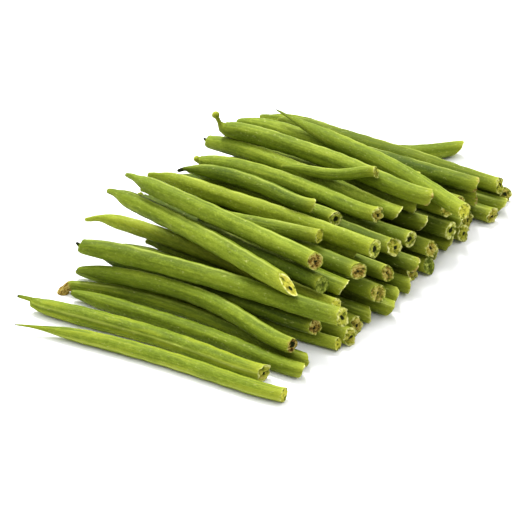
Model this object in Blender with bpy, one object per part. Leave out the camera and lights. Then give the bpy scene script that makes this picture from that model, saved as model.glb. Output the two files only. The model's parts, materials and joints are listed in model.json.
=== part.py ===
"""A heap of trimmed green beans, laid side by side with their cut ends all one way.

Every pod is one object: a tube along its own bent centre line, thin at the tail and cut
square at the stem end. The pods are laid down one after another, from the surface up, and
each comes to rest on the pods under it.

Metres, with X along the pods from tail to cut end, Y across the heap from front to back
and Z up. The origin is on the surface that the heap lies on, under the middle of its box.
"""

import math
import random
from dataclasses import dataclass, field

import bpy
import numpy as np
from mathutils import Vector

MM = 0.001
SEED = 7

# The tube of a pod
SIDES = 8
FLAT_SIDE_DOWN = math.pi / SIDES
FLAT_SHARE = math.cos(math.pi / SIDES)  # from the centre to a flat side, as a share of the radius
OUTLINE = (  # place along the pod from its tail, and the width there as a share of the full width
    (0.00, 0.16),
    (0.02, 0.34),
    (0.05, 0.50),
    (0.10, 0.69),
    (0.17, 0.85),
    (0.27, 0.95),
    (0.40, 1.00),
    (0.58, 1.00),
    (0.76, 1.00),
    (0.90, 0.97),
    (1.00, 0.88),
)
BALANCE = 0.53  # where along the pod its weight hangs
MEAN_SWELL = 0.64  # mean height of a bow, as a share of its middle

# How pods lie on each other
GAP = 0.3 * MM
PROBES = 56  # places along a pod where its clearance is worked out
SLIDE_STEP = 0.25 * MM
ROLL_STEP = 0.8 * MM
BOWS = 7  # ways to bow up or down that are tried
STAY_PUT = 0.25  # height given up for each metre that a pod would have to roll
STAY_STRAIGHT = 0.15  # height given up for each metre of bow
STAY_LEVEL = 0.12  # height given up for each metre that one end lies higher than the other

# Pods laid by rule
LENGTHS = (110 * MM, 119 * MM)
WIDTHS = (8.2 * MM, 8.9 * MM)
SIDE_BOW = 1.5 * MM

# Colours, linear
FRESH_GREEN = (0.200, 0.330, 0.035, 1.0)
DEEP_GREEN = (0.110, 0.230, 0.025, 1.0)
YELLOW_GREEN = (0.360, 0.460, 0.050, 1.0)
SKIN_ROUGHNESS = 0.42


@dataclass
class Pod:
    """One bean pod as it is laid down, seen from above, in millimetres."""

    name: str
    tail: tuple  # x, y of the thin end
    end: tuple  # x, y of the cut end
    width: float = 8.6
    bend: float = 0.0  # how far the middle lies off the straight line, to the back
    bend_at: float = 0.5  # share of the length, from the tail, where the bend is widest
    give: float = 2.5  # how far the middle may bow up or down to fit what lies under it
    roll: float = 1.6  # how far the pod may roll sideways to lie lower
    tint: tuple = FRESH_GREEN
    line: list = field(default_factory=list)  # centre line at rest, filled in by the heap

    def radius(self, share):
        """Radius in metres at shares of the length."""
        places, widths = zip(*OUTLINE)
        return np.interp(share, places, widths) * self.width * MM / 2

    def swell(self, share):
        """A bump from 0 at both ends to 1 at bend_at."""
        power = math.log(0.5) / math.log(self.bend_at)
        return np.sin(math.pi * np.asarray(share) ** power)

    def plan(self, share, aside=0.0):
        """Points seen from above, in metres, at shares of the length."""
        tail, end = np.array(self.tail) * MM, np.array(self.end) * MM
        along = (end - tail) / np.linalg.norm(end - tail)
        across = np.array([-along[1], along[0]])
        off = self.swell(share) * self.bend * MM + aside
        return tail + np.outer(share, end - tail) + np.outer(off, across)


@dataclass
class Rest:
    """How a pod lies: rolled aside, bowed up, and the heights of its straight line."""

    aside: float
    bow: float
    tail: float
    end: float

    def heights(self, pod, share):
        """Heights of the centre line at shares of the length."""
        return self.tail + (self.end - self.tail) * share + self.bow * pod.swell(share)

    def cost(self):
        """Mean height of the pod, and what it gives up to lie there."""
        mean = self.tail + (self.end - self.tail) * BALANCE + self.bow * MEAN_SWELL
        given_up = abs(self.aside) * STAY_PUT + abs(self.bow) * STAY_STRAIGHT
        return mean + given_up + abs(self.end - self.tail) * STAY_LEVEL


class Heap:
    """The pods laid so far, and the rule by which the next one comes to rest."""

    def __init__(self):
        self.points = np.empty((0, 3))
        self.radii = np.empty(0)
        self.pods = []

    def needed(self, plan, radius):
        """The lowest height of each point that clears the surface and the pods below."""
        height = radius * FLAT_SHARE
        if len(self.radii):
            apart = np.linalg.norm(plan[:, None] - self.points[None, :, :2], axis=2)
            reach = radius[:, None] + self.radii[None] + GAP
            rise = np.sqrt(np.clip(reach**2 - apart**2, 0, None))
            over = np.where(apart < reach, self.points[None, :, 2] + rise, 0.0)
            height = np.maximum(height, over.max(axis=1))
        return height

    def straight_rest(self, share, height):
        """Heights at both ends of the straight line that rests on two of the heights, one
        on each side of where the weight hangs."""
        near, far = share < BALANCE, share >= BALANCE
        s0, h0 = share[near][:, None], height[near][:, None]
        s1, h1 = share[far][None], height[far][None]
        middle = h0 + (h1 - h0) * (BALANCE - s0) / (s1 - s0)
        a, b = np.unravel_index(np.argmax(middle), middle.shape)
        slope = (h1[0, b] - h0[a, 0]) / (s1[0, b] - s0[a, 0])
        at_tail = h0[a, 0] - slope * s0[a, 0]
        return at_tail, at_tail + slope

    def keep(self, pod, rest):
        """Adds the pod where it lies."""
        share = np.linspace(0, 1, PROBES)
        plan = pod.plan(share, rest.aside)
        self.points = np.vstack([self.points, np.column_stack([plan, rest.heights(pod, share)])])
        self.radii = np.append(self.radii, pod.radius(share))
        stations = np.array([place for place, _ in OUTLINE])
        heights = rest.heights(pod, stations)
        for (x, y), z in zip(pod.plan(stations, rest.aside), heights):
            pod.line.append(Vector((x, y, z)))
        self.pods.append(pod)

    def lay(self, pod):
        """Rolls and bows the pod to lie as low as it can within its reach."""
        share = np.linspace(0, 1, PROBES)
        radius, swell = pod.radius(share), pod.swell(share)
        steps = round(pod.roll * MM / ROLL_STEP)
        bows = np.linspace(-pod.give, pod.give, BOWS) * MM
        rests = []
        for aside in np.arange(-steps, steps + 1) * ROLL_STEP:
            height = self.needed(pod.plan(share, aside), radius)
            for bow in bows:
                rests.append(Rest(aside, bow, *self.straight_rest(share, height - bow * swell)))
        self.keep(pod, min(rests, key=Rest.cost))

    def lay_flat(self, pod):
        """Slides the pod to the back until it lies on the surface beside its neighbours."""
        share = np.linspace(0, 1, PROBES)
        radius = pod.radius(share)
        aside = 0.0
        while (self.needed(pod.plan(share, aside), radius) > radius * FLAT_SHARE).any():
            aside += SLIDE_STEP
        level = radius.max() * FLAT_SHARE
        self.keep(pod, Rest(aside, 0.0, level, level))


def row(name, ends, chance, roll=0.8):
    """Pods laid by rule, from the x and y of each cut end and the y of its tail."""
    for number, (x, y, tail_y) in enumerate(ends, start=1):
        yield Pod(
            name=f"{name}_{number:02d}",
            tail=(x - chance.uniform(*LENGTHS) / MM, tail_y),
            end=(x, y),
            width=chance.uniform(*WIDTHS) / MM,
            bend=chance.uniform(-SIDE_BOW, SIDE_BOW) / MM,
            give=1.5,
            roll=roll,
            tint=chance.choice((FRESH_GREEN, FRESH_GREEN, DEEP_GREEN)),
        )


def floor_pods(chance):
    """The pods that lie flat on the surface, from front to back."""
    yield Pod("pod_front_01", (-57.5, -100), (61.5, -81.5), 7.0, bend=5.5, bend_at=0.36)
    yield Pod("pod_front_02", (-68, -84.5), (47.5, -75), 8.2, bend=4, bend_at=0.56)
    yield Pod("pod_front_03", (-52.5, -67.5), (59, -64.5), 7.6, bend=3, bend_at=0.56)
    yield Pod("pod_front_04", (-59.5, -66.5), (56.5, -56.5), 6.4, bend=10, bend_at=0.4)
    yield Pod("pod_front_05", (-60.5, -56.5), (62, -43), 6.6, bend=2.5)
    ends = (
        (64, -33, -37),
        (62, -24, -28),
        (63, -15, -18),
        (68, -6, -8),
        (65, 3, 1),
        (66, 12.5, 11),
        (62, 21.5, 20),
        (66, 31, 30),
        (63, 42, 41),
        (65, 52, 50),
        (66, 62, 59),
        (62, 72, 67),
        (70, 81, 75),
        (70, 90, 83),
        (67, 99, 91),
    )
    yield from row("pod_floor", ends, chance)
    yield Pod("pod_back_01", (-66, 101.5), (27, 127), 8.0, bend=-15.5, bend_at=0.72)


def second_pods(chance):
    """The second layer, from front to back, and the bent pod on its front slope."""
    yield Pod("pod_slope_01", (-59, -43), (53, -42.5), 7.8, tint=DEEP_GREEN)
    yield Pod("pod_slope_02", (-54.5, -58.5), (51, -59), 8.0, bend=9.5, bend_at=0.48)
    yield Pod(
        name="pod_slope_03",
        tail=(-76.5, -24.5),
        end=(54, -31.5),
        width=7.8,
        bend=5.5,
        bend_at=0.36,
        tint=YELLOW_GREEN,
    )
    ends = (
        (54.5, -22.5, -13),
        (64, -10, -2),
        (60, 4, 7),
        (65.5, 20, 20),
        (66, 32, 32),
        (66, 49.5, 49.5),
        (66, 60, 60),
        (63, 78, 83),
        (66, 96, 94),
    )
    yield from row("pod_second", ends, chance)


def third_pods(chance):
    """The third layer, from front to back."""
    yield Pod("pod_slope_04", (-57.5, -56), (64.5, -41), 8.8, bend=3, bend_at=0.36)
    ends = (
        (57, -16.5, -5),
        (57.5, 16, 16),
        (59, 27.5, 27.5),
        (56.5, 43.5, 43.5),
        (62, 52, 52),
        (60, 66, 67),
        (64, 77.5, 77.5),
    )
    yield from row("pod_third", ends, chance, roll=1.6)


def top_pods():
    """The pods on top of the heap, in the order in which they come to rest."""
    return (
        Pod("pod_top_01", (-51, -17.5), (48.5, -26.5), 8.0, bend=-2, bend_at=0.68, tint=DEEP_GREEN),
        Pod("pod_top_02", (-64, -22), (42, -43), 8.8, bend=1.5),
        Pod("pod_top_03", (-62, 0.5), (47, 0.5), 8.6),
        Pod("pod_top_04", (-58, -0.5), (58, -2), 8.6, bend=1.5, bend_at=0.36, tint=YELLOW_GREEN),
        Pod("pod_top_05", (-18.5, -22.5), (35.5, -11), 6.8, bend=0.5, bend_at=0.36),
        Pod("pod_top_06", (-55.5, -19.5), (43.5, -26.5), 8.8, bend=-3.5, bend_at=0.36),
        Pod("pod_top_07", (-46, 12.5), (30.5, 13.5), 7.6, bend=-1.5, bend_at=0.72),
        Pod("pod_top_08", (-52, 48.5), (52.5, 42), 8.0),
        Pod("pod_top_09", (-49.5, 22), (44, 20.5), 8.0, bend=7, bend_at=0.36),
        Pod("pod_top_10", (-55, 38), (49, 31.5), 8.6, bend=2, bend_at=0.36),
        Pod("pod_top_11", (-43.5, 0), (23, 1), 6.8, bend=7, bend_at=0.36, tint=DEEP_GREEN),
        Pod("pod_top_12", (-48.5, 36), (59.5, 35.5), 8.8, bend=6, bend_at=0.36),
        Pod("pod_top_13", (-9.5, 32), (34.5, 38), 5.4, bend=-1.5, bend_at=0.6),
        Pod("pod_top_14", (-55.5, 67.5), (42, 65), 8.8, bend=2.5, bend_at=0.36),
        Pod("pod_top_15", (-36, 71), (74.5, 42), 7.6, bend=6.5, bend_at=0.68),
    )


def heap_of_pods():
    """Lays every pod, from the surface up."""
    chance = random.Random(SEED)
    heap = Heap()
    for pod in floor_pods(chance):
        heap.lay_flat(pod)
    for layer in (second_pods(chance), third_pods(chance), top_pods()):
        for pod in layer:
            heap.lay(pod)
    return heap


def skin_material(pod):
    """The pod's own green, smooth and slightly shiny."""
    material = bpy.data.materials.new(f"{pod.name}_skin")
    material.use_nodes = True
    shader = material.node_tree.nodes["Principled BSDF"]
    shader.inputs["Base Color"].default_value = pod.tint
    shader.inputs["Roughness"].default_value = SKIN_ROUGHNESS
    shader.inputs["Metallic"].default_value = 0.0
    material.diffuse_color = pod.tint
    return material


def pod_object(pod, collection, parent):
    """The pod as a tube along its centre line, wide and thin as its outline says."""
    curve = bpy.data.curves.new(pod.name, "CURVE")
    curve.dimensions = "3D"
    curve.twist_mode = "Z_UP"
    curve.bevel_depth = pod.width * MM / 2
    curve.bevel_resolution = (SIDES - 4) // 2
    curve.use_fill_caps = True
    curve.materials.append(skin_material(pod))
    middle = pod.line[len(pod.line) // 2]
    spline = curve.splines.new("POLY")
    spline.points.add(len(OUTLINE) - 1)
    for point, place, (_, width) in zip(spline.points, pod.line, OUTLINE):
        point.co = (*(place - middle), 1.0)
        point.radius = width
        point.tilt = FLAT_SIDE_DOWN
    spline.use_smooth = True
    made = bpy.data.objects.new(pod.name, curve)
    made.location = middle
    made.parent = parent
    collection.objects.link(made)
    return made


def centre_over_origin(bundle, pods):
    """Moves the bundle so that its box stands on the origin by the middle of its foot."""
    bpy.context.view_layer.update()
    graph = bpy.context.evaluated_depsgraph_get()
    corners = []
    for pod in pods:
        shown = pod.evaluated_get(graph)
        mesh = shown.to_mesh()
        corners += [shown.matrix_world @ vertex.co for vertex in mesh.vertices]
        shown.to_mesh_clear()
    spread = np.array(corners)
    low, high = spread.min(axis=0), spread.max(axis=0)
    bundle.location = (-(low[0] + high[0]) / 2, -(low[1] + high[1]) / 2, -low[2])


def main():
    """Clears the scene and builds the bundle."""
    for old in list(bpy.data.objects):
        bpy.data.objects.remove(old)
    collection = bpy.data.collections.new("green_bean_bundle")
    bpy.context.scene.collection.children.link(collection)
    bundle = bpy.data.objects.new("green_bean_bundle", None)
    collection.objects.link(bundle)
    heap = heap_of_pods()
    pods = [pod_object(pod, collection, bundle) for pod in heap.pods]
    centre_over_origin(bundle, pods)


main()
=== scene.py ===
"""A heap of trimmed fresh green beans on a white table, seen from its front right corner.

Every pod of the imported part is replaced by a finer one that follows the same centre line: a
ridged, slightly lumpy skin with a seam, a tail of one of several kinds and a cut end that has
a rim, a hollow and, on the older cuts, dried brown flesh.

Metres, with X from the tails to the cut ends, Y from front to back and Z up.
"""

import json
import logging
import math
import random
from collections.abc import Callable, Sequence
from dataclasses import dataclass, field, fields
from enum import Enum

import bmesh
import bpy
import numpy as np
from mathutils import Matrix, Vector


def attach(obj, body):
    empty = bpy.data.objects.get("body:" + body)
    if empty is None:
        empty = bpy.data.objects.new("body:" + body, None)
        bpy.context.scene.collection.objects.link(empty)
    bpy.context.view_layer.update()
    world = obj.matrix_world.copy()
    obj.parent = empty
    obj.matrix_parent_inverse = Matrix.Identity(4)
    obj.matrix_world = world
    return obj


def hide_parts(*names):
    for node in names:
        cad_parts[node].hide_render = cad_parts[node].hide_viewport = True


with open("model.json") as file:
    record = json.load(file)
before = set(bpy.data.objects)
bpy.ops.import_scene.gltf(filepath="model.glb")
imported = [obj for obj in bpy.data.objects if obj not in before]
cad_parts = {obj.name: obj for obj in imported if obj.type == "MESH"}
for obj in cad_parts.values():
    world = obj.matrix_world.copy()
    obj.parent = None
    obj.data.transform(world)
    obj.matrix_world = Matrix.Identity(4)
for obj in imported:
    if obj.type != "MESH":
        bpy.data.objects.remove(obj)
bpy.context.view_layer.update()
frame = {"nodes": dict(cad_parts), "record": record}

LOG = logging.getLogger("green_beans")
MM = 0.001
SEED = 11

CAD_SIDES = 8  # sides of a packed pod, one of them flat on what is under it
SLICES = 22  # cuts across a packed pod, from which its course is read
WIDEST = 8  # how many of the cuts are taken as full width
TIP_LENGTH = 0.4 * MM  # the corners this near a packed pod's tip give its middle
STUB_LENGTH = 3.0 * MM  # the same at its cut end, which may slant
MARGIN = 0.2 * MM  # how far inside the ends the first and the last cut are
CURVE_DEGREE = 5
AHEAD = 0.5 * MM  # how far to each side a course's direction is measured
CROWDING = 0.82  # how much closer the rings stand near a pod's ends

Colour = tuple[float, float, float]
Span = tuple[float, float]
Profile = tuple[Span, ...]


class Tail(Enum):
    """The thin end of a pod."""

    BLUNT = "rounded, with hardly any beak"
    BEAK = "short narrow beak, rounded at its tip"
    LONG = "longer narrow beak"
    SHARP = "long thin point"
    TORN = "beak on one side and a torn shoulder on the other"
    NUB = "wide blunt end with a small nub"
    SHRIVELLED = "dried, brown and hooked"
    FORKED = "wide and blunt, with a dark point to one side"
    WITHERED = "narrow beak with a dark tip"
    KNOB = "stalk with a knob, standing up"


class Cut(Enum):
    """The cut end of a pod."""

    PLAIN = "clean green cut with a pale edge"
    UNDERCUT = "clean cut, longer on its upper side"
    FRINGED = "the same, with a pale and brown torn edge"
    PALE = "fresh pale flesh all over"
    HOLLOW = "pale ring round a deep dark hole"
    BROWN = "tan ring round dried brown flesh"
    RAGGED = "torn pale edge with brown flesh"
    SCORCHED = "shrunken and dark brown"
    SLANTED = "long slanted cut, yellow, with a small hole"


class Skin(Enum):
    """The record's three greens."""

    FRESH = "fresh_green"
    DEEP = "deep_green"
    YELLOW = "yellow_green"


@dataclass(frozen=True)
class TailShape:
    """How a tail narrows, with all lengths in mm.

    outline: distance from the tip, and radius there as a share of the full radius.
    lift: distance from the tip, and how far the middle lies off the line, in radii.
    dry, dark, pale: lengths of a dried, a dark and a pale tip.
    reach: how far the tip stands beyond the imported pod's.
    """

    outline: Profile
    lift: Profile = ((0.0, 0.0),)
    dry: float = 0.0
    dark: float = 0.0
    pale: float = 0.0
    reach: float = 0.0


TAILS: dict[Tail, TailShape] = {
    Tail.BLUNT: TailShape(
        outline=(
            (0, 0.24), (0.6, 0.38), (2, 0.50), (5, 0.64),
            (9, 0.79), (14, 0.91), (24, 0.98), (40, 1),
        ),
        dark=0.3,
    ),
    Tail.BEAK: TailShape(
        outline=(
            (0, 0.18), (0.5, 0.29), (2.5, 0.35), (5, 0.42), (7, 0.54),
            (9, 0.70), (12, 0.87), (18, 0.97), (30, 1),
        ),
        lift=((0, -0.10), (3, 0.02), (8, 0.06), (13, 0.0)),
        pale=0.6,
    ),
    Tail.LONG: TailShape(
        outline=(
            (0, 0.15), (0.5, 0.25), (3, 0.32), (7, 0.41), (9.5, 0.56),
            (12, 0.73), (16, 0.90), (22, 0.97), (32, 1),
        ),
        lift=((0, -0.10), (5, 0.04), (12, 0.0)),
        pale=0.6,
        reach=1.5,
    ),
    Tail.SHARP: TailShape(
        outline=(
            (0, 0.07), (2, 0.13), (7, 0.20), (11, 0.31),
            (16, 0.50), (23, 0.74), (32, 0.92), (44, 1),
        ),
        lift=((0, 0.20), (8, 0.10), (18, 0.0)),
        dark=0.6,
    ),
    Tail.TORN: TailShape(
        outline=(
            (0, 0.14), (1.0, 0.20), (6.4, 0.27), (6.8, 0.36), (7.2, 0.58),
            (10, 0.70), (14, 0.86), (24, 0.97), (36, 1),
        ),
        lift=((0, 0.50), (6.4, 0.46), (7.2, 0.16), (11, 0.0)),
        dark=0.7,
    ),
    Tail.NUB: TailShape(
        outline=(
            (0, 0.26), (0.5, 0.38), (1.8, 0.42), (2.6, 0.60),
            (5, 0.74), (9, 0.89), (16, 0.98), (28, 1),
        ),
        lift=((0, 0.45), (1.6, 0.16), (4, 0.0)),
        pale=1.2,
    ),
    Tail.SHRIVELLED: TailShape(
        outline=(
            (0, 0.44), (0.6, 0.74), (1.6, 0.80), (2.8, 0.60), (4.2, 0.76),
            (6.0, 0.66), (8.4, 0.78), (14, 0.90), (24, 0.98), (38, 1),
        ),
        lift=((0, -1.55), (1.4, -0.80), (3.2, -0.05), (5.5, 0.30), (9, 0.14), (14, 0.0)),
        dry=4.6,
    ),
    Tail.KNOB: TailShape(
        outline=(
            (0, 0.22), (0.3, 0.42), (0.75, 0.42), (1.1, 0.24), (2.2, 0.22), (2.9, 0.36),
            (3.8, 0.60), (6, 0.80), (10, 0.92), (18, 0.99), (28, 1),
        ),
        lift=((0, 1.85), (2.4, 0.62), (3.6, 0.22), (6, 0.0)),
        pale=2.6,
        reach=0.6,
    ),
    Tail.FORKED: TailShape(
        outline=(
            (0, 0.12), (1.3, 0.22), (1.6, 0.60), (2.3, 0.74),
            (6, 0.84), (12, 0.95), (24, 1),
        ),
        lift=((0, 0.40), (1.5, 0.10), (4, 0.0)),
        dark=1.0,
    ),
    Tail.WITHERED: TailShape(
        outline=(
            (0, 0.16), (0.5, 0.24), (2.5, 0.27), (4.5, 0.36),
            (7, 0.55), (10, 0.76), (15, 0.93), (26, 1),
        ),
        lift=((0, -0.15), (3, 0.10), (8, 0.04), (13, 0.0)),
        dark=2.6,
    ),
}


@dataclass(frozen=True)
class CutShape:
    """How a cut end looks.

    lean: how far the cut leans, in radii.
    facing: the side that is cut back, in degrees from straight up, towards the front above 0.
    swing: how far facing may turn either way, in degrees.
    flare: how much wider the pod is at its cut.
    ragged: how uneven its edge is, and lumps: how uneven its face is, in mm.
    hole: depth of the hole in mm, bore: its radius as a share of the pod's, and off: how far it
        lies from the middle, away from the side that is cut back.
    wall: thickness of the ring round the flesh, as a share of the radius.
    rim_and_highlight: how pale the ring is, partly as a painted highlight, dry: how brown the flesh
    is, deep: how dark the hole is, as painted shade, and gold: how yellow the flesh is.
    ring: how brown the last mm of the skin are.
    pale: length of the yellower skin by the cut, in mm.
    """

    lean: float
    facing: float
    ragged: float
    lumps: float
    hole: float
    bore: float
    wall: float
    rim_and_highlight: float
    dry: float
    deep: float
    ring: float
    pale: float
    off: float = 0.05
    gold: float = 0.0
    flare: float = 0.0
    swing: float = 30.0


CUTS: dict[Cut, CutShape] = {
    Cut.PLAIN: CutShape(
        lean=0.30, facing=30, swing=70, ragged=0.20, lumps=0.20,
        hole=0.15, bore=0.26, deep=0.45, wall=0.12, rim_and_highlight=0.35,
        dry=0.20, ring=0.05, pale=2.0,
    ),
    Cut.UNDERCUT: CutShape(
        lean=0.72, facing=-128, ragged=0.26, lumps=0.12,
        hole=0.10, bore=0.26, deep=0.30, wall=0.12, rim_and_highlight=0.75,
        dry=0.30, ring=0.10, pale=2.5,
    ),
    Cut.FRINGED: CutShape(
        lean=0.80, facing=-128, ragged=0.40, lumps=0.12,
        hole=0.10, bore=0.26, deep=0.30, wall=0.12, rim_and_highlight=0.90,
        dry=0.40, ring=0.95, pale=3.0,
    ),
    Cut.PALE: CutShape(
        lean=0.15, facing=50, flare=0.03, ragged=0.22, lumps=0.20,
        hole=0.25, bore=0.24, deep=0.40, wall=0.26, rim_and_highlight=0.50,
        dry=0.25, ring=0.05, pale=4.5, gold=0.5,
    ),
    Cut.HOLLOW: CutShape(
        lean=0.16, facing=52, flare=0.04, ragged=0.24, lumps=0.20,
        hole=1.10, bore=0.34, deep=1.00, wall=0.34, rim_and_highlight=0.66,
        dry=0.20, ring=0.0, pale=2.5, gold=0.2,
    ),
    Cut.BROWN: CutShape(
        lean=0.34, facing=40, swing=75, ragged=0.34, lumps=0.34,
        hole=0.50, bore=0.20, deep=0.75, wall=0.18, rim_and_highlight=0.40,
        dry=0.68, ring=0.35, pale=2.5, gold=0.2,
    ),
    Cut.RAGGED: CutShape(
        lean=0.30, facing=40, swing=60, flare=0.04, ragged=0.60, lumps=0.60,
        hole=0.45, bore=0.24, deep=0.85, wall=0.24, rim_and_highlight=0.66,
        dry=0.54, ring=0.40, pale=4.0, gold=0.3,
    ),
    Cut.SCORCHED: CutShape(
        lean=0.15, facing=52, flare=-0.06, ragged=0.34, lumps=0.45,
        hole=0.50, bore=0.45, off=0.0, deep=0.80, wall=0.16, rim_and_highlight=0.22,
        dry=0.95, ring=0.70, pale=2.0,
    ),
    Cut.SLANTED: CutShape(
        lean=1.15, facing=-14, swing=5, flare=-0.17, ragged=0.30, lumps=0.34,
        hole=0.60, bore=0.20, off=0.42, deep=1.00, wall=0.12, rim_and_highlight=0.95,
        dry=0.40, ring=0.05, pale=7.0, gold=0.55,
    ),
}


@dataclass(frozen=True)
class Look:
    """What one pod looks like.

    tone: darker below 0, lighter above 0; the dark tones of the pods under the others are painted shade.
    warm: how yellow the skin is, 0 to 1.
    seam: where the seam runs, in degrees from straight up, towards the front above 0; on the pods on top
    it lies along the upper edge, where its pale strand is a painted highlight.
    hook: how far the tip bends up, in radii.
    facing: the side that is cut back, where it isn't the usual one for such a cut.
    """

    tail: Tail
    cut: Cut
    tone: float
    warm: float
    seam: float
    hook: float = 0.0
    facing: float | None = None


LOOKS: dict[str, Look] = {  # tail, cut, tone and painted shade, warm, seam with its painted highlight
    "pod_front_01": Look(Tail.SHARP, Cut.PALE, 0.45, 0.75, 100.0),
    "pod_front_02": Look(Tail.TORN, Cut.RAGGED, 0.35, 0.90, 62.0),
    "pod_front_03": Look(Tail.BLUNT, Cut.UNDERCUT, -0.30, 0.20, 130.0),
    "pod_front_04": Look(Tail.SHRIVELLED, Cut.UNDERCUT, 0.00, 0.45, 15.0),
    "pod_front_05": Look(Tail.BLUNT, Cut.PALE, -0.05, 0.40, -14.0),
    "pod_slope_01": Look(Tail.BEAK, Cut.BROWN, -0.35, 0.15, -8.0),
    "pod_slope_02": Look(Tail.BLUNT, Cut.SCORCHED, 0.00, 0.25, -10.0),
    "pod_slope_03": Look(Tail.LONG, Cut.PALE, 0.35, 0.90, -12.0, hook=-0.5),
    "pod_slope_04": Look(Tail.FORKED, Cut.RAGGED, -0.10, 0.20, -12.0),
    "pod_top_01": Look(Tail.NUB, Cut.PLAIN, -0.45, 0.10, -16.0),
    "pod_top_02": Look(Tail.BEAK, Cut.SLANTED, 0.13, 0.25, -10.0),
    "pod_top_03": Look(Tail.BLUNT, Cut.UNDERCUT, 0.30, 0.60, -14.0),
    "pod_top_04": Look(Tail.BEAK, Cut.HOLLOW, 0.00, 0.25, -12.0),
    "pod_top_05": Look(Tail.BEAK, Cut.PALE, -0.05, 0.30, -12.0),
    "pod_top_06": Look(Tail.LONG, Cut.BROWN, 0.08, 0.20, -10.0, facing=52.0),
    "pod_top_07": Look(Tail.BEAK, Cut.HOLLOW, -0.15, 0.20, -14.0),
    "pod_top_08": Look(Tail.BEAK, Cut.UNDERCUT, -0.12, 0.25, -14.0),
    "pod_top_09": Look(Tail.NUB, Cut.RAGGED, 0.15, 0.30, -12.0),
    "pod_top_10": Look(Tail.FORKED, Cut.UNDERCUT, 0.32, 0.30, -12.0),
    "pod_top_11": Look(Tail.WITHERED, Cut.UNDERCUT, 0.05, 0.20, -6.0),
    "pod_top_12": Look(Tail.KNOB, Cut.FRINGED, 0.07, 0.30, -12.0),
    "pod_top_13": Look(Tail.BEAK, Cut.BROWN, 0.17, 0.30, -14.0),
    "pod_top_14": Look(Tail.BLUNT, Cut.UNDERCUT, 0.22, 0.30, -26.0),
    "pod_top_15": Look(Tail.SHARP, Cut.PALE, 0.32, 0.35, -30.0),
    "pod_back_01": Look(Tail.BEAK, Cut.UNDERCUT, -0.10, 0.35, -20.0, facing=170.0),
    # The low tones of the wall's pods, third and second, are painted shade under the pods above them.
    "pod_third_01": Look(Tail.BEAK, Cut.BROWN, -0.90, 0.20, -14.0),
    "pod_third_02": Look(Tail.BEAK, Cut.RAGGED, -1.10, 0.15, -14.0),
    "pod_third_03": Look(Tail.BLUNT, Cut.HOLLOW, -1.10, 0.15, -14.0),
    "pod_third_04": Look(Tail.BEAK, Cut.UNDERCUT, -1.05, 0.15, -14.0),
    "pod_third_05": Look(Tail.BLUNT, Cut.RAGGED, -0.85, 0.30, -14.0),
    "pod_third_06": Look(Tail.BEAK, Cut.BROWN, -1.10, 0.15, -14.0),
    "pod_third_07": Look(Tail.BEAK, Cut.FRINGED, -0.50, 0.20, -24.0),
    "pod_second_01": Look(Tail.BEAK, Cut.UNDERCUT, 0.25, 0.60, 20.0),
    "pod_second_02": Look(Tail.BLUNT, Cut.BROWN, -1.15, 0.15, -10.0),
    "pod_second_03": Look(Tail.BEAK, Cut.BROWN, -1.10, 0.15, -10.0),
    "pod_second_04": Look(Tail.BEAK, Cut.FRINGED, -1.15, 0.15, -10.0),
    "pod_second_05": Look(Tail.BEAK, Cut.RAGGED, -1.10, 0.15, -10.0),
    "pod_second_08": Look(Tail.BEAK, Cut.FRINGED, -0.85, 0.20, -24.0),
    "pod_second_09": Look(Tail.BEAK, Cut.RAGGED, -0.70, 0.30, -20.0),
}
HIDDEN_TAILS = (Tail.BEAK, Tail.BEAK, Tail.BLUNT, Tail.NUB, Tail.SHARP)
HIDDEN_CUTS = (Cut.PLAIN, Cut.UNDERCUT, Cut.UNDERCUT, Cut.HOLLOW, Cut.BROWN, Cut.RAGGED)
# Hidden pods lie under and behind the others: their low, randomly spread tones are painted shade.
HIDDEN_TONE_AND_SHADE: Span = (-1.3, -0.6)
HIDDEN_WARM: Span = (0.15, 0.5)
HIDDEN_SEAM: Span = (-70, 40)


@dataclass(frozen=True)
class Greens:
    """A skin's colours, linear."""

    shade: Colour
    body: Colour
    light: Colour


GREENS: dict[Skin, Greens] = {
    Skin.FRESH: Greens((0.082, 0.118, 0.005), (0.142, 0.198, 0.012), (0.252, 0.322, 0.030)),
    Skin.DEEP: Greens((0.050, 0.080, 0.004), (0.098, 0.146, 0.008), (0.178, 0.236, 0.020)),
    Skin.YELLOW: Greens((0.120, 0.158, 0.005), (0.195, 0.246, 0.014), (0.330, 0.385, 0.034)),
}
WARM_TINT: Colour = (0.262, 0.296, 0.014)
# Pale green of the seam's strand, partly a painted highlight along the upper edges.
SEAM_GREEN_AND_HIGHLIGHT: Colour = (0.400, 0.460, 0.090)
PALE_SKIN: Colour = (0.340, 0.370, 0.030)
# Pale ring and edge of the cut, partly a painted highlight.
RIM_AND_HIGHLIGHT: Colour = (0.660, 0.660, 0.240)
FLESH: Colour = (0.300, 0.355, 0.045)
# Darker flesh, also used as painted shade in the cut's hollows and on the pods under the others.
DARK_FLESH_AND_SHADE: Colour = (0.080, 0.110, 0.008)
GOLD: Colour = (0.700, 0.640, 0.045)
RUST: Colour = (0.250, 0.145, 0.018)
TAN: Colour = (0.440, 0.370, 0.100)
SCORCHED: Colour = (0.050, 0.028, 0.005)
# Near black: painted shade in the holes, and the dark of dark tips.
HOLE_SHADE_AND_DARK_TIP: Colour = (0.012, 0.017, 0.002)
TABLE_WHITE: Colour = (0.93, 0.93, 0.94)


@dataclass(frozen=True)
class Pattern:
    """A noise pattern on the pods.

    stretch: its scale across the pod, up and along it.
    scale, detail, rough: how fine it is, and how much finer noise it holds.
    """

    stretch: tuple[float, float, float]
    scale: float
    detail: float
    rough: float = 0.5


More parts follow.
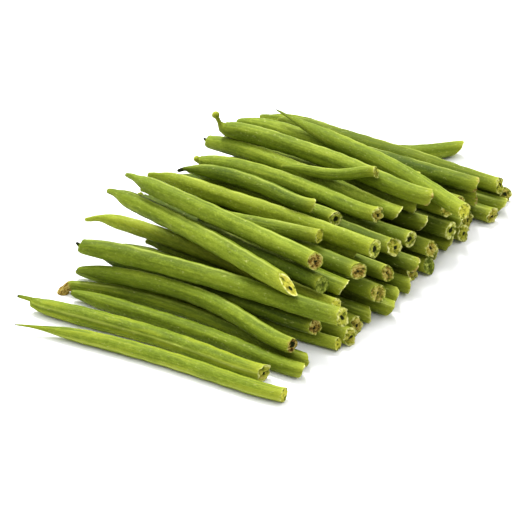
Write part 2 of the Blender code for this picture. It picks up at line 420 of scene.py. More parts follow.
CLOUDS = Pattern((0.6, 0.6, 0.34), 1.5, 2.0)
STREAKS = Pattern((1.0, 1.0, 0.05), 3.6, 3.0, 0.6)
BLOTCHES = Pattern((1.0, 1.0, 1.1), 3.0, 3.0, 0.65)
MOTTLE = Pattern((1.0, 1.0, 1.5), 7.5, 3.0, 0.7)
PATCHES = Pattern((1.0, 1.0, 1.6), 3.6, 2.0, 0.6)


@dataclass(frozen=True)
class Marks:
    """What the mesh of a pod tells its material at each point.

    tone: darker below 0, lighter above 0; the dark tones of the pods under the others are painted shade.
    warm: how yellow the skin is.
    pale: how near it is to a pale tip or cut.
    rim_and_highlight: how pale the ring and the edge of the cut are, the pale edge partly a painted
    highlight.
    dry: how dried and brown it is.
    deep: how dark a hole is, which is painted shade, and how dark a dark tip is.
    lump_shade: hills and hollows of the cut, about -1 to 1, which paint shade in the hollows and light on
    the hills.
    ridge_shade: height of the skin's ridges, about -1 to 1, which paints shade in the grooves and light on
    the ridges.
    seam: 1 on the seam's strand, which is painted pale, partly as a highlight along the upper edge.
    flesh: 1 on the face of the cut.
    gold: how yellow the flesh is.
    """

    tone: np.ndarray
    warm: np.ndarray
    pale: np.ndarray
    rim_and_highlight: np.ndarray
    dry: np.ndarray
    deep: np.ndarray
    lump_shade: np.ndarray
    ridge_shade: np.ndarray
    seam: np.ndarray
    flesh: np.ndarray
    gold: np.ndarray


class Number:
    """A number socket of a node tree, with Python's arithmetic on it."""

    def __init__(self, graph: "Graph", socket: bpy.types.NodeSocket) -> None:
        """Keeps the tree and the socket."""
        self.graph = graph
        self.socket = socket

    def _math(self, operation: str, first: "Number | float", second: "Number | float") -> "Number":
        """Adds one Math node and returns its result."""
        return self.graph.number("ShaderNodeMath", {"operation": operation}, {0: first, 1: second})

    def __add__(self, other: "Number | float") -> "Number":
        """Sum."""
        return self._math("ADD", self, other)

    def __sub__(self, other: "Number | float") -> "Number":
        """Difference."""
        return self._math("SUBTRACT", self, other)

    def __rsub__(self, other: "Number | float") -> "Number":
        """Difference, with this one taken away."""
        return self._math("SUBTRACT", other, self)

    def __mul__(self, other: "Number | float") -> "Number":
        """Product."""
        return self._math("MULTIPLY", self, other)

    __radd__ = __add__
    __rmul__ = __mul__

    def between(self, low: float, high: float) -> "Number":
        """0 below low, 1 above high and a smooth step from one to the other."""
        return self.graph.number(
            "ShaderNodeMapRange",
            {"interpolation_type": "SMOOTHSTEP"},
            {"Value": self, "From Min": low, "From Max": high, "To Min": 0.0, "To Max": 1.0},
        )


Value = Number | float | Colour | Vector | bpy.types.NodeSocket


class Graph:
    """A material's node tree."""

    def __init__(self, name: str) -> None:
        """Makes an empty material with one Principled shader."""
        self.material = bpy.data.materials.new(name)
        self.material.use_nodes = True
        self.tree = self.material.node_tree
        self.shader = self.tree.nodes["Principled BSDF"]

    def feed(self, target: bpy.types.NodeSocket, value: Value) -> None:
        """Links a socket or a Number to the target, or sets a number, vector or colour on it."""
        if isinstance(value, Number):
            value = value.socket
        if isinstance(value, bpy.types.NodeSocket):
            self.tree.links.new(value, target)
        elif isinstance(value, tuple):
            target.default_value = (*value, 1.0)
        else:
            target.default_value = value

    def put(self, node: bpy.types.Node, inputs: dict[str | int, Value]) -> None:
        """Feeds a node's sockets, by name or number."""
        for key, value in inputs.items():
            self.feed(node.inputs[key], value)

    def node(
        self, kind: str, settings: dict[str, str | bool], inputs: dict[str | int, Value]
    ) -> bpy.types.Node:
        """Adds any node.

        Args:
            kind: the node's type.
            settings: its properties, set first.
            inputs: its sockets, by name or number.
        Returns:
            The node.
        """
        made = self.tree.nodes.new(kind)
        for key, value in settings.items():
            setattr(made, key, value)
        self.put(made, inputs)
        return made

    def number(
        self,
        kind: str,
        settings: dict[str, str | bool],
        inputs: dict[str | int, Value],
        output: str | int = 0,
    ) -> Number:
        """Adds a node and returns one of its outputs as a Number."""
        return Number(self, self.node(kind, settings, inputs).outputs[output])

    def attribute(self, name: str) -> Number:
        """A number that the mesh carries at each point."""
        return self.number("ShaderNodeAttribute", {"attribute_name": name}, {}, "Fac")

    def vector(self, name: str) -> bpy.types.NodeSocket:
        """A vector that the mesh carries at each point."""
        return self.node("ShaderNodeAttribute", {"attribute_name": name}, {}).outputs["Vector"]

    def pattern(self, place: bpy.types.NodeSocket, pattern: Pattern) -> Number:
        """A noise pattern, about 0.5 on the whole.

        Args:
            place: where the pattern is read.
            pattern: its stretch and fineness.
        Returns:
            The noise.
        """
        stretched = self.node(
            "ShaderNodeVectorMath", {"operation": "MULTIPLY"}, {0: place, 1: Vector(pattern.stretch)}
        )
        return self.number(
            "ShaderNodeTexNoise",
            {},
            {
                "Vector": stretched.outputs[0],
                "Scale": pattern.scale,
                "Detail": pattern.detail,
                "Roughness": pattern.rough,
            },
            "Fac",
        )

    def mix(self, factor: Value, first: Value, second: Value) -> bpy.types.NodeSocket:
        """Mixes two colours: the first where the factor is 0 and the second where it is 1."""
        made = self.node("ShaderNodeMix", {"data_type": "RGBA", "clamp_factor": True}, {})
        sockets = {socket.identifier: socket for socket in made.inputs}
        for identifier, value in (("Factor_Float", factor), ("A_Color", first), ("B_Color", second)):
            self.feed(sockets[identifier], value)
        return next(socket for socket in made.outputs if socket.identifier == "Result_Color")


class PodSkin:
    """The skin and flesh of a pod, in one of the three greens.

    The mesh says at each point where it is round and along the pod, and how it is marked.
    """

    bump_strength: float = 0.5
    bump_height: float = 0.6 * MM
    specular: float = 0.07

    def __init__(self, skin: Skin) -> None:
        """Reads the mesh's marks and lays the patterns.

        Args:
            skin: which of the three greens.
        """
        self.graph = Graph(f"bean_{skin.value}")
        self.greens = GREENS[skin]
        place = self.graph.vector("place")
        self.at = {mark.name: self.graph.attribute(mark.name) for mark in fields(Marks)}
        self.clouds = self.graph.pattern(place, CLOUDS)
        self.streaks = self.graph.pattern(place, STREAKS)
        self.blotches = self.graph.pattern(place, BLOTCHES)
        self.mottle = self.graph.pattern(place, MOTTLE)
        self.patches = self.graph.pattern(place, PATCHES)

    def material(self) -> bpy.types.Material:
        """Dresses the shader.

        Returns:
            The material.
        """
        colour = self._skin()
        colour = self.graph.mix(self.at["flesh"], colour, self._flesh())
        colour = self._aged(colour)
        relief = self.streaks * 0.5 + self.mottle * 0.6 + self.blotches * 0.3
        bump = self.graph.node(
            "ShaderNodeBump",
            {},
            {"Strength": self.bump_strength, "Distance": self.bump_height, "Height": relief},
        )
        roughness = 0.48 + self.mottle * 0.20 + self.at["dry"] * 0.25 + self.at["flesh"] * 0.15
        self.graph.put(
            self.graph.shader,
            {
                "Base Color": colour,
                "Roughness": roughness,
                "Specular IOR Level": self.specular,
                "Normal": bump.outputs["Normal"],
            },
        )
        return self.graph.material

    def _skin(self) -> bpy.types.NodeSocket:
        """The green of the skin, with its yellower parts, flecks, seam and pale ends, with a painted
        highlight along the seam and painted shade in the grooves and on the pods under the others.
        """
        mix, at, greens = self.graph.mix, self.at, self.greens
        pattern = self.clouds * 0.55 + self.streaks * 0.45 + self.blotches * 0.45 + self.mottle * 0.45
        # The ridge term paints shade in the grooves and light on the ridges.
        # The tone term darkens the pods under the others as painted shade.
        lightness = pattern + at["tone"] * 0.26 + at["ridge_shade"] * 0.05 - 0.46
        colour = mix(lightness.between(0.24, 0.58), greens.shade, greens.body)
        colour = mix(lightness.between(0.50, 0.80), colour, greens.light)
        yellowing = (self.clouds * 0.5 + self.streaks * 0.5).between(0.42, 0.60)
        colour = mix(at["warm"] * yellowing * 0.75, colour, WARM_TINT)
        flecks = (self.mottle * 0.6 + self.blotches * 0.4).between(0.50, 0.74)
        colour = mix(flecks * (at["warm"] * 0.5 + 0.2), colour, greens.light)
        # The seam's pale strand, set along the upper edges, is partly a painted highlight.
        strand = at["seam"] * (self.clouds.between(0.35, 0.65) * 0.55 + 0.22)
        colour = mix(strand, colour, SEAM_GREEN_AND_HIGHLIGHT)
        pale = at["pale"] * (self.mottle + 0.35).between(0.45, 0.95) * 0.9
        return mix(pale, colour, PALE_SKIN)

    def _flesh(self) -> bpy.types.NodeSocket:
        """The green or yellow of fresh flesh, with painted shade in its hollows and on the pods under the
        others, and painted light on its hills.
        """
        mix, at = self.graph.mix, self.at
        # The lump terms paint shade in the cut's hollows and light on its hills, and the tone term paints
        # shade on the pods under the others.
        lightness = self.patches + at["lump_shade"] * 0.15 + at["tone"] * 0.12
        meat = mix(lightness.between(0.25, 0.70), DARK_FLESH_AND_SHADE, FLESH)
        golden = at["gold"] * (self.patches + at["lump_shade"] * 0.12).between(0.25, 0.55)
        return mix(golden, meat, GOLD)

    def _aged(self, colour: bpy.types.NodeSocket) -> bpy.types.NodeSocket:
        """Adds the pale rim with its painted highlight, the dried browns, the painted shade of the holes
        and the dark of the tips.

        Args:
            colour: the colour under them.
        Returns:
            The colour with them.
        """
        mix, at = self.graph.mix, self.at
        # The pale rim and the pale edge of the skin at the cut are partly a painted highlight.
        rim_and_highlight = (at["rim_and_highlight"] + self.patches * 1.4 + at["lump_shade"] * 0.12 - 0.7).between(0.10, 0.90)
        colour = mix(rim_and_highlight, colour, RIM_AND_HIGHLIGHT)
        # Here and in the rim above, the lump terms paint shade in the cut's hollows and light on its
        # hills.
        brown = mix((self.patches + at["lump_shade"] * 0.08).between(0.34, 0.56), SCORCHED, RUST)
        tanned = (self.mottle * 0.5 + self.patches * 0.5 + at["lump_shade"] * 0.06).between(0.46, 0.62)
        brown = mix(tanned, brown, TAN)
        dried = (at["dry"] + self.patches * 0.8 + self.mottle * 0.4 - 0.6).between(0.28, 0.78)
        colour = mix(dried, colour, brown)
        # Painted shade in the holes, and the dark of dark tips.
        dark = (at["deep"] + self.mottle * 0.4 - 0.2).between(0.15, 0.60)
        return mix(dark, colour, HOLE_SHADE_AND_DARK_TIP)


@dataclass
class Course:
    """The centre line and width of a packed pod, read from its solid.

    points: places on the centre line, from the tail to the cut end.
    radius: the pod's full radius.
    """

    points: np.ndarray
    radius: float

    @classmethod
    def of_node(cls, name: str) -> "Course":
        """Cuts the solid across, and takes the middle of each cut.

        Args:
            name: the CAD node.
        Returns:
            The course of the pod.
        """
        corners, first, second = cls._edges(frame["nodes"][name].data)
        low, high = corners[:, 0].min(), corners[:, 0].max()
        tail = corners[corners[:, 0] < low + TIP_LENGTH].mean(axis=0)
        end = corners[corners[:, 0] > high - STUB_LENGTH].mean(axis=0)
        along = (end - tail) / np.linalg.norm(end - tail)
        across = np.cross((0.0, 0.0, 1.0), along)
        across /= np.linalg.norm(across)
        up = np.cross(along, across)
        reach = corners @ along
        middles, widths = [], []
        for place in np.linspace(reach.min() + MARGIN, reach.max() - MARGIN, SLICES):
            before, after = first @ along - place, second @ along - place
            crossed = before * after < 0
            share = (before[crossed] / (before[crossed] - after[crossed]))[:, None]
            ring = first[crossed] + (second[crossed] - first[crossed]) * share
            side, height = ring @ across, ring @ up
            sideways = across * (side.min() + side.max()) / 2
            middles.append(along * place + sideways + up * (height.min() + height.max()) / 2)
            widths.append((side.max() - side.min()) / 2)
        points = np.array(middles)
        points[0] -= along * MARGIN
        points[-1] += along * MARGIN
        full = float(np.median(sorted(widths)[-WIDEST:]))
        return cls(points, full / math.cos(math.pi / CAD_SIDES))

    @staticmethod
    def _edges(mesh: bpy.types.Mesh) -> tuple[np.ndarray, np.ndarray, np.ndarray]:
        """The corners of a mesh, and both ends of each side of its triangles."""
        corners = np.empty(len(mesh.vertices) * 3)
        mesh.vertices.foreach_get("co", corners)
        corners = corners.reshape(-1, 3)
        mesh.calc_loop_triangles()
        triangles = np.empty(len(mesh.loop_triangles) * 3, dtype=int)
        mesh.loop_triangles.foreach_get("vertices", triangles)
        triangles = triangles.reshape(-1, 3)
        edges = np.vstack([triangles[:, [0, 1]], triangles[:, [1, 2]], triangles[:, [2, 0]]])
        return corners, corners[edges[:, 0]], corners[edges[:, 1]]

    def lengths(self) -> np.ndarray:
        """Distance of each point from the tail along the line."""
        steps = np.linalg.norm(np.diff(self.points, axis=0), axis=1)
        return np.concatenate([[0.0], np.cumsum(steps)])

    def at(self, distance: np.ndarray) -> np.ndarray:
        """Smooth points on the line at distances from the tail, also a little beyond its ends."""
        lengths = self.lengths()
        domain = [0, lengths[-1]]
        fitted = [
            np.polynomial.Polynomial.fit(lengths, self.points[:, axis], CURVE_DEGREE, domain=domain)
            for axis in range(3)
        ]
        inside = np.clip(distance, 0, lengths[-1])
        base = np.column_stack([curve(inside) for curve in fitted])
        slope = np.column_stack([curve.deriv()(inside) for curve in fitted])
        return base + slope * (np.asarray(distance) - inside)[:, None]

    def axes(self, distance: np.ndarray) -> tuple[np.ndarray, np.ndarray, np.ndarray]:
        """The directions ahead, sideways and up at distances from the tail."""
        ahead = self.at(distance + AHEAD) - self.at(distance - AHEAD)
        ahead /= np.linalg.norm(ahead, axis=1)[:, None]
        side = np.cross((0.0, 0.0, 1.0), ahead)
        side /= np.linalg.norm(side, axis=1)[:, None]
        return ahead, side, np.cross(ahead, side)


@dataclass
class PodMaster:
    """The plain pod from which all others are copied: a tube of unit radius along X.

    Its X coordinate is the number of its ring, and its Y and Z say where round the pod and
    how far from the middle a point is.

    cap_steps: how far in each ring of faces on its ends is from the one before.
    """

    sides: int = 40
    rings: int = 132
    cap_steps: tuple[float, ...] = (0.06, 0.10, 0.12, 0.14, 0.16, 0.16)
    mesh: bpy.types.Mesh | None = field(default=None, repr=False)

    def build(self) -> None:
        """Models the tube as by hand."""
        bpy.ops.object.select_all(action="DESELECT")
        bpy.ops.mesh.primitive_cylinder_add(
            vertices=self.sides,
            radius=1.0,
            depth=self.rings,
            end_fill_type="NGON",
            location=(self.rings / 2, 0, 0),
            rotation=(0, math.pi / 2, 0),
        )
        master = bpy.context.object
        master.name = "pod_master"
        bpy.ops.object.transform_apply(location=True, rotation=True, scale=True)
        bpy.ops.object.mode_set(mode="EDIT")
        bpy.ops.mesh.select_mode(type="EDGE")
        self._select_edges(master, lambda edge: abs(edge.verts[0].co.x - edge.verts[1].co.x) > 1)
        bpy.ops.mesh.subdivide(number_cuts=self.rings - 1)
        bpy.ops.mesh.select_mode(type="FACE")
        for end in (0, self.rings):
            self._select_cap(master, end)
            for step in self.cap_steps:
                bpy.ops.mesh.inset(thickness=step, depth=0)
            bpy.ops.mesh.poke()
        bpy.ops.mesh.select_all(action="DESELECT")
        bpy.ops.object.mode_set(mode="OBJECT")
        self.mesh = master.data
        bpy.data.objects.remove(master)

    @staticmethod
    def _select_edges(master: bpy.types.Object, wanted: Callable[[bmesh.types.BMEdge], bool]) -> None:
        """Selects the edges that are wanted, and nothing else."""
        bpy.ops.mesh.select_all(action="DESELECT")
        shape = bmesh.from_edit_mesh(master.data)
        for edge in shape.edges:
            edge.select_set(wanted(edge))
        bmesh.update_edit_mesh(master.data)

    @staticmethod
    def _select_cap(master: bpy.types.Object, end: float) -> None:
        """Selects the face that closes one end."""
        bpy.ops.mesh.select_all(action="DESELECT")
        shape = bmesh.from_edit_mesh(master.data)
        for face in shape.faces:
            face.select_set(abs(face.normal.x) > 0.9 and abs(face.calc_center_median().x - end) < 0.01)
        bmesh.update_edit_mesh(master.data)

    def copy(self, name: str) -> bpy.types.Mesh:
        """A mesh of its own for one pod."""
        mesh = self.mesh.copy()
        mesh.name = name
        return mesh


def smooth(value: np.ndarray, low: float, high: float) -> np.ndarray:
    """0 below low, 1 above high and a smooth step between them."""
    share = np.clip((value - low) / (high - low), 0, 1)
    return share * share * (3 - 2 * share)


def bell(distance: np.ndarray, width: float) -> np.ndarray:
    """1 at 0, and falling away on both sides of it."""
    return np.exp(-((distance / width) ** 2))


def waves(place: np.ndarray, chance: random.Random, spans: Sequence[float]) -> np.ndarray:
    """A sum of slow waves along the pod, from about -1 to 1."""
    total = np.zeros_like(place)
    for span in spans:
        total += np.sin(place / span * 2 * math.pi + chance.uniform(0, 2 * math.pi))
    return total / len(spans)


@dataclass(frozen=True)
class Grid:
    """Where each point of a pod's mesh is.

    angle: round the pod, 0 straight up and above 0 towards the back.
    inner: distance from the middle, 1 on the skin and less on the caps.
    at_tail, at_end: 1 on that cap and 0 elsewhere.
    from_tail, to_end: distances along the pod in mm.
    """

    angle: np.ndarray
    inner: np.ndarray
    at_tail: np.ndarray
    at_end: np.ndarray
    from_tail: np.ndarray
    to_end: np.ndarray

    @classmethod
    def of_mesh(cls, mesh: bpy.types.Mesh, rings: int, length: float) -> "Grid":
        """Reads the plain pod's points.

        Args:
            mesh: a copy of the plain pod.
            rings: how many rings it has beyond the first.
            length: length of the pod in mm.
        Returns:
            The grid.
        """
        plain = np.empty(len(mesh.vertices) * 3)
        mesh.vertices.foreach_get("co", plain)
        plain = plain.reshape(-1, 3)
        ring = np.clip(np.rint(plain[:, 0]).astype(int), 0, rings)
        share = np.linspace(0, 1, rings + 1)
        share = share - CROWDING * np.sin(2 * math.pi * share) / (2 * math.pi)
        along = length * share[ring]
        return cls(
            angle=np.arctan2(plain[:, 1], plain[:, 2]),
            inner=np.clip(np.hypot(plain[:, 1], plain[:, 2]), 0, 1),
            at_tail=(plain[:, 0] < 0.01).astype(float),
            at_end=(plain[:, 0] > rings - 0.01).astype(float),
            from_tail=along,
            to_end=length - along,
        )

    @property
    def across(self) -> np.ndarray:
        """Distance sideways from the middle, 1 on the skin."""
        return self.inner * np.sin(self.angle)

    @property
    def height(self) -> np.ndarray:
        """Distance up from the middle, 1 on the skin."""
        return self.inner * np.cos(self.angle)


@dataclass(frozen=True)
class PodForm:
    """What all pods share. Lengths are in mm, and heights are shares of the radius.

    fullness: the round pod's radius, as a share of the faceted one's.
    flatness: height as a share of width, and flat_play: how much it changes along the pod.
    swelling: height of the swellings over the seeds, which stand seed_gap apart.
    sway: how much the width changes slowly along the pod, in waves of sway_spans.
    stub: distance from the cut, and width there as a share of the full width.
    oval: how oval the section is.
    ridges: how many ridges of a kind there are round the pod, and their height.
    drift: how far the ridges wander round the pod, in radians, in waves of drift_spans.
    strand, groove, rear: half widths of the seam's strand, its grooves and the line opposite, in
        radians, and strand_height, groove_depth, rear_height: how high or deep they are.
    wander: how far the seam wanders round the pod, in radians, in waves of wander_spans.
    tip_dome: how far the tip's cap bulges.
    bend_length: length of the tail that a hook bends.
    """

    fullness: float = 0.965
    flatness: float = 0.965
    flat_play: float = 0.02
    flat_spans: tuple[float, ...] = (60.0,)
    swelling: float = 0.026
    seed_gap: Span = (8.5, 11.0)
    sway: float = 0.024
    sway_spans: tuple[float, ...] = (31.0, 47.0)
    stub: Profile = ((2, 0.91), (6, 0.93), (16, 0.97), (40, 1.0))
    oval: float = 0.035
    ridges: tuple[tuple[int, float], ...] = ((7, 0.006), (11, 0.004), (5, 0.007))
    drift: float = 0.6
    drift_spans: tuple[float, ...] = (60.0, 90.0)
    strand: float = 0.125
    strand_height: float = 0.046
    groove: float = 0.42
    groove_depth: float = 0.040
    rear: float = 0.09
    rear_height: float = 0.018
    wander: float = 0.06
    wander_spans: tuple[float, ...] = (70.0, 110.0)
    tip_dome: float = 0.5
    bend_length: float = 14.0


@dataclass(frozen=True)
class CutForm:
    """What all cuts share.

    lumps: how many waves the hills and hollows of the face have.
    teeth: how many teeth of a kind there are round the edge, and their size.
    lean_play: the least and the greatest share of a cut's lean.
    off_play: how far the hole may lie off its place, as a share of the radius.
    bore_edge: how soft the edge of the hole is, as a share of the radius.
    dish: how far the face lies behind the edge, in mm.
    age, paleness: the least and the greatest share of a cut's dryness and of its rim's paleness.
    """

    lumps: tuple[float, ...] = (4.0, 6.0, 8.5, 11.0)
    teeth: tuple[tuple[int, float], ...] = ((2, 0.7), (3, 0.8), (5, 0.8), (8, 0.6), (11, 0.5))
    lean_play: Span = (0.75, 1.3)
    off_play: float = 0.10
    bore_edge: float = 0.13
    dish: float = 0.12
    age: Span = (0.5, 1.15)
    paleness: Span = (0.65, 1.15)


@dataclass(frozen=True)
class Face:
    """The face of a pod's cut, at each point of the mesh.

    lumps: hills and hollows, about -1 to 1.
    teeth: teeth round the edge, about -1 to 1.
    hole: 1 in the hole in the flesh and 0 outside it.
    """

    lumps: np.ndarray
    teeth: np.ndarray
    hole: np.ndarray


@dataclass
class FinePod:
    """One pod with its seam, tail and cut end.

    name: the CAD node that it stands for.
    look: its tail, cut and colour.
    chance: where its random draws come from.
    """

    name: str
    look: Look
    chance: random.Random
    form: PodForm = PodForm()
    cut_form: CutForm = CutForm()

    def make(self, master: PodMaster, material: bpy.types.Material) -> bpy.types.Object:
        """Copies the plain pod and shapes it along its course.

        Args:
            master: the plain pod.
            material: its skin.
        Returns:
            The finished piece.
        """
        course = Course.of_node(self.name)
        tail, cut = TAILS[self.look.tail], CUTS[self.look.cut]
        radius = course.radius * self.form.fullness
        mesh = master.copy(self.name)
        grid = Grid.of_mesh(mesh, master.rings, course.lengths()[-1] / MM + tail.reach)

        width = self._width(grid, tail, cut)
        section, strand = self._section(grid)
        face = Face(self._lumps(grid), self._teeth(grid), self._hole(grid, cut))
        shift = self._cut(grid, cut, radius, face)
        shift -= grid.at_tail * (1 - grid.inner) * self.form.tip_dome * width * radius
        lift, slope = self._lift(grid.from_tail, tail), self._slope(grid.from_tail, tail, radius)
        squash = self.form.flatness
        squash += self.form.flat_play * waves(grid.from_tail, self.chance, self.form.flat_spans)
        reach = radius * width * section * grid.inner
        height = np.cos(grid.angle) * reach * squash

        along = (grid.from_tail - tail.reach) * MM
        ahead, side, up = course.axes(along)
        final = course.at(along) + side * (np.sin(grid.angle) * reach)[:, None]
        final += up * (height * np.cos(slope) + lift * radius)[:, None]
        final += ahead * (shift - height * np.sin(slope))[:, None]
        final[:, 2] = np.maximum(final[:, 2], 0.0)
        mesh.vertices.foreach_set("co", final.ravel())

        self._store(mesh, "place", self._place(grid))
        marks = self._marks(grid, tail, cut, section, strand, face)
        for mark in fields(marks):
            self._store(mesh, mark.name, getattr(marks, mark.name))
        mesh.materials.clear()
        mesh.materials.append(material)
        piece = bpy.data.objects.new(f"fine_{self.name}", mesh)
        bpy.context.scene.collection.objects.link(piece)
        self._shade(piece)
        return piece

    def _lift(self, from_tail: np.ndarray, tail: TailShape) -> np.ndarray:
        """How far the middle of the pod lies above its course, in radii."""
        bend = self.look.hook * (1 - smooth(from_tail, 0, self.form.bend_length)) ** 2
        return np.interp(from_tail, *zip(*tail.lift)) + bend

    def _slope(self, from_tail: np.ndarray, tail: TailShape, radius: float) -> np.ndarray:
        """How steeply the lifted middle climbs away from the course, in radians."""
        step = 0.6
        after, before = from_tail + step, np.maximum(from_tail - step, 0)
        rise = self._lift(after, tail) - self._lift(before, tail)
        fade = 1 - smooth(from_tail, self.form.bend_length - 4, self.form.bend_length)
        return np.arctan2(rise * radius / MM, after - before) * fade

    def _width(self, grid: Grid, tail: TailShape, cut: CutShape) -> np.ndarray:
        """Width along the pod, as a share of the full width: the seeds show as slight swellings."""
        form = self.form
        stub = ((0, form.stub[0][1] + cut.flare), *form.stub)
        width = np.interp(grid.from_tail, *zip(*tail.outline))
        width *= np.interp(grid.to_end, *zip(*stub))
        body = smooth(grid.from_tail, 12, 28) * smooth(grid.to_end, 8, 22)
        gap = self.chance.uniform(*form.seed_gap)
        phase = self.chance.uniform(0, 2 * math.pi)
        width *= 1 + form.swelling * body * np.sin(grid.from_tail / gap * 2 * math.pi + phase)
        return width * (1 + form.sway * waves(grid.from_tail, self.chance, form.sway_spans) * body)

    def _section(self, grid: Grid) -> tuple[np.ndarray, np.ndarray]:
        """The section's shape round the pod: faint ridges, and a seam between two grooves.

        Returns:
            The radius as a share of a round pod's, and how near the seam's strand is.
        """
        form, full = self.form, 2 * math.pi
        wander = form.wander * waves(grid.from_tail, self.chance, form.wander_spans)
        turn = (grid.angle + math.radians(self.look.seam) + wander + math.pi) % full - math.pi
        opposite = (turn + full) % full - math.pi
        strand = bell(turn, form.strand)
        groove = bell(turn, form.groove) - strand
        ridges = np.zeros_like(turn)
        for number, size in form.ridges:
            start = self.chance.uniform(0, full)
            drift = form.drift * waves(grid.from_tail, self.chance, form.drift_spans)
            ridges += size * np.cos(number * grid.angle + start + drift)
        seams = form.strand_height * strand - form.groove_depth * groove
        seams += form.rear_height * bell(opposite, form.rear)
        oval = form.oval * np.cos(2 * grid.angle + self.chance.uniform(0, full))
        section = 1 + oval + ridges * smooth(grid.from_tail, 2, 12) + seams * smooth(grid.from_tail, 4, 14)
        return section, strand

    def _lumps(self, grid: Grid) -> np.ndarray:
        """Hills and hollows on the face of the cut, about -1 to 1."""
        total = np.zeros_like(grid.angle)
        for number in self.cut_form.lumps:
            way = self.chance.uniform(0, 2 * math.pi)
            start = self.chance.uniform(0, 2 * math.pi)
            total += np.sin(number * grid.inner * np.cos(grid.angle - way) + start)
        return total / 2.2

    def _teeth(self, grid: Grid) -> np.ndarray:
        """Teeth round the edge of the cut, about -1 to 1."""
        total = np.zeros_like(grid.angle)
        for number, size in self.cut_form.teeth:
            total += size * np.sin(number * grid.angle + self.chance.uniform(0, 2 * math.pi))
        return total / 2.0

    def _hole(self, grid: Grid, cut: CutShape) -> np.ndarray:
        """1 in the hole in the flesh, which is a little off the middle, and 0 outside it."""
        play, soft = self.cut_form.off_play, self.cut_form.bore_edge
        away = -math.radians(cut.facing) + math.pi
        across = grid.across - self.chance.uniform(-play, play) - cut.off * math.sin(away)
        height = grid.height - self.chance.uniform(-play, play) - cut.off * math.cos(away)
        return grid.at_end * (1 - smooth(np.hypot(across, height), cut.bore - soft, cut.bore + soft))

    def _cut(self, grid: Grid, cut: CutShape, radius: float, face: Face) -> np.ndarray:
        """How far along the pod each point by the cut is moved, in metres."""
        lean = cut.lean * radius * self.chance.uniform(*self.cut_form.lean_play)
        facing = self.look.facing
        if facing is None:
            facing = cut.facing + self.chance.uniform(-1, 1) * cut.swing
        near = np.clip(1 - grid.to_end * MM / (2 * MM + 2.2 * lean), 0, 1)
        towards = np.cos(grid.angle + math.radians(facing)) * grid.inner
        shift = -near * lean * (towards + 0.3)
        shift += near * face.teeth * cut.ragged * MM * grid.inner ** 2
        flat = grid.at_end * (1 - smooth(grid.inner, 0.90, 1.0))
        shift += flat * (face.lumps * cut.lumps - self.cut_form.dish) * MM
        return shift - face.hole * cut.hole * MM

    def _place(self, grid: Grid) -> np.ndarray:
        """Where the skin's pattern is read: round the pod, and along it in cm."""
        return np.column_stack(
            [grid.across, grid.height, grid.from_tail / 10 + self.chance.uniform(0, 400)]
        )

    def _marks(
        self,
        grid: Grid,
        tail: TailShape,
        cut: CutShape,
        section: np.ndarray,
        strand: np.ndarray,
        face: Face,
    ) -> Marks:
        """What the material is told at each point."""
        flesh = grid.at_end * (1 - smooth(grid.inner, 0.93, 0.999))
        ring = smooth(grid.inner, 1 - cut.wall - 0.12, 1 - cut.wall + 0.12) * flesh
        edge = bell(grid.to_end, 0.55) * (1 - flesh)
        stain = cut.ring * bell(grid.to_end, 1.4) * (0.55 + 0.45 * face.teeth)
        age = self.chance.uniform(*self.cut_form.age)
        paleness = self.chance.uniform(*self.cut_form.paleness)

        dry = np.maximum(stain * (1 - flesh), flesh * cut.dry * age * (1 - 0.55 * ring))
        if tail.dry > 0:
            dry = np.maximum(dry, 1 - smooth(grid.from_tail, tail.dry * 0.6, tail.dry * 1.5))
        dark_tip = np.zeros_like(grid.angle)
        if tail.dark > 0:
            dark_tip = 0.62 * (1 - smooth(grid.from_tail, tail.dark * 0.5, tail.dark * 1.6))
        # The pale edge of the skin at the cut is partly a painted highlight.
        rim_and_highlight = np.maximum(ring * (0.72 + 0.38 * face.teeth), edge * (0.75 + 0.35 * face.teeth))
        pale_end = 0.95 * np.exp(-grid.to_end / cut.pale) * (1 - grid.at_end)
        pale_tip = np.exp(-grid.from_tail / max(tail.pale, 0.05))
        flat = np.ones_like(grid.angle)
        return Marks(
            tone=flat * self.look.tone,
            warm=flat * self.look.warm,
            pale=np.clip(np.maximum(pale_end, pale_tip), 0, 1),
            rim_and_highlight=np.clip(cut.rim_and_highlight * paleness * rim_and_highlight, 0, 1),
            dry=np.clip(dry, 0, 1),
            # The hole's darkness is painted shade; the dark tip is the tip's own colour.
            deep=np.maximum(face.hole * cut.deep, dark_tip),
            lump_shade=face.lumps * grid.at_end,
            ridge_shade=(section - 1) / 0.03,
            seam=strand * smooth(grid.from_tail, 3, 10) * (1 - grid.at_end),
            flesh=flesh,
            gold=flat * cut.gold,
        )

    @staticmethod
    def _store(mesh: bpy.types.Mesh, name: str, values: np.ndarray) -> None:
        """Keeps a number or a vector at each point of the mesh."""
        if values.ndim == 2:
            made = mesh.attributes.new(name, "FLOAT_VECTOR", "POINT")
            made.data.foreach_set("vector", values.astype(np.float32).ravel())
        else:
            made = mesh.attributes.new(name, "FLOAT", "POINT")
            made.data.foreach_set("value", values.astype(np.float32))

    @staticmethod
    def _shade(piece: bpy.types.Object) -> None:
        """Smooth, but for the edge of the cut."""
        bpy.ops.object.select_all(action="DESELECT")
        piece.select_set(True)
        bpy.context.view_layer.objects.active = piece
        bpy.ops.object.shade_smooth_by_angle(angle=math.radians(50))


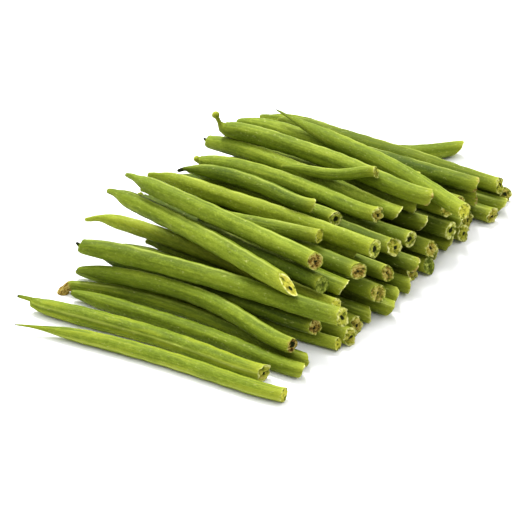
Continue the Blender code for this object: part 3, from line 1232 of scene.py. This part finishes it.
@dataclass
class Heap:
    """All the pods."""

    master: PodMaster = field(default_factory=PodMaster)
    seed: int = SEED

    def look_of(self, name: str, chance: random.Random) -> Look:
        """The look of a shown pod, or one drawn for a hidden one."""
        if name in LOOKS:
            return LOOKS[name]
        return Look(
            tail=chance.choice(HIDDEN_TAILS),
            cut=chance.choice(HIDDEN_CUTS),
            tone=chance.uniform(*HIDDEN_TONE_AND_SHADE),
            warm=chance.uniform(*HIDDEN_WARM),
            seam=chance.uniform(*HIDDEN_SEAM),
        )

    def build(self) -> list[bpy.types.Object]:
        """Makes a fine pod for each packed one.

        Returns:
            The pieces.
        """
        self.master.build()
        materials = {skin: PodSkin(skin).material() for skin in Skin}
        slots = {entry["node"]: entry["material_slot"] for entry in frame["record"]["subparts"]}
        pieces = []
        for number, name in enumerate(sorted(frame["nodes"])):
            chance = random.Random(self.seed * 1000 + number)
            skin = Skin(slots[name])
            piece = FinePod(name, self.look_of(name, chance), chance).make(self.master, materials[skin])
            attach(piece, "root")
            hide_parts(name)
            pieces.append(piece)
        return pieces


@dataclass(frozen=True)
class Lamp:
    """A distant lamp.

    energy: its strength.
    spread: how wide it is in the sky, in degrees, and so how soft.
    towards: the way that its light goes.
    """

    name: str
    energy: float
    spread: float
    towards: tuple[float, float, float]

    def hang(self) -> None:
        """Adds the lamp to the scene."""
        made = bpy.data.objects.new(self.name, bpy.data.lights.new(self.name, "SUN"))
        made.data.energy = self.energy
        made.data.angle = math.radians(self.spread)
        made.rotation_mode = "QUATERNION"
        made.rotation_quaternion = Vector(self.towards).to_track_quat("-Z", "Y")
        bpy.context.scene.collection.objects.link(made)


@dataclass
class Studio:
    """The white table, the light and the camera.

    azimuth, elevation: where the camera stands, in degrees, from the front towards the right
        and from the table up.
    distance, aim: how far it stands from the point that it looks at.
    lens: its focal length in mm.
    """

    azimuth: float = 32.5
    elevation: float = 33.4
    distance: float = 0.950
    lens: float = 150.0
    aim: tuple[float, float, float] = (0.00044, -0.01462, 0.0)
    clip: Span = (0.01, 20.0)
    table_size: float = 12.0
    sky_colour: Colour = (0.97, 0.98, 1.0)
    sky_strength: float = 0.42
    lamps: tuple[Lamp, ...] = (
        Lamp("key", 4.0, 18.0, (0.48, -0.36, -0.80)),
        Lamp("sky", 3.2, 110.0, (0.20, -0.14, -0.97)),
    )

    def table(self) -> None:
        """A wide white surface."""
        bpy.ops.object.select_all(action="DESELECT")
        bpy.ops.mesh.primitive_plane_add(size=self.table_size, location=(0, 0, 0))
        floor = bpy.context.object
        floor.name = "table"
        graph = Graph("white_table")
        graph.put(graph.shader, {"Base Color": TABLE_WHITE, "Roughness": 0.7, "Specular IOR Level": 0.1})
        floor.data.materials.append(graph.material)

    def light(self) -> None:
        """Soft light from all round, and a stronger soft one from the upper left."""
        bpy.context.scene.view_settings.view_transform = "Standard"
        world = bpy.data.worlds.new("studio")
        bpy.context.scene.world = world
        world.use_nodes = True
        background = world.node_tree.nodes["Background"]
        background.inputs["Color"].default_value = (*self.sky_colour, 1.0)
        background.inputs["Strength"].default_value = self.sky_strength
        for lamp in self.lamps:
            lamp.hang()

    def camera(self) -> None:
        """A long lens, from the front right and above."""
        turn, rise = math.radians(self.azimuth), math.radians(self.elevation)
        back = Vector((math.sin(turn) * math.cos(rise), -math.cos(turn) * math.cos(rise), math.sin(rise)))
        made = bpy.data.objects.new("camera", bpy.data.cameras.new("camera"))
        made.data.lens = self.lens
        made.data.clip_start, made.data.clip_end = self.clip
        made.location = Vector(self.aim) + back * self.distance
        made.rotation_mode = "QUATERNION"
        made.rotation_quaternion = (-back).to_track_quat("-Z", "Y")
        bpy.context.scene.collection.objects.link(made)
        bpy.context.scene.camera = made

    def build(self) -> None:
        """Sets up the table, the light and the camera."""
        self.table()
        self.light()
        self.camera()


def main() -> None:
    """Builds the heap and the studio."""
    logging.basicConfig(level=logging.INFO, format="%(name)s: %(message)s")
    for piece in Heap().build():
        LOG.info("%s, %d faces", piece.name, len(piece.data.polygons))
    Studio().build()


if __name__ == "__main__":
    main()
